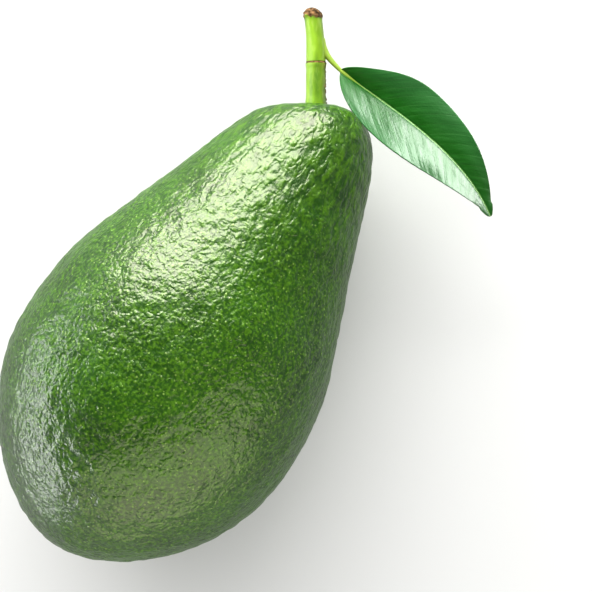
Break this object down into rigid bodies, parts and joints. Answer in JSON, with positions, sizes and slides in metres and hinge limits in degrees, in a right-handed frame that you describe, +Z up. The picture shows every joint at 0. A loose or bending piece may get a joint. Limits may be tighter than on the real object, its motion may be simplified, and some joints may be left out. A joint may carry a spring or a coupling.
{
  "type": "avocado fruit with stalk and leaf",
  "caption": "Whole green pear-shaped avocado lying on its side, with its green stalk, a short piece of twig and a folded glossy leaf at the neck.",
  "frame": {"origin": "middle of the small flattened patch under the belly, on the surface that the lying fruit rests on", "axes": "+Z up, +X along the fruit from its blossom end to its neck, +Y towards the side that the stalk leans to; the leaf is on the -Y side"},
  "size_m": [0.1387, 0.0819, 0.0744],
  "materials": {
    "avocado_skin": "satin",
    "green_wood": "satin",
    "leaf_green": "satin"
  },
  "bodies": {
    "root": {"fruit": "avocado_skin", "fruit_stalk": "green_wood", "twig": "green_wood", "leaf": "leaf_green"}
  },
  "joints": []
}
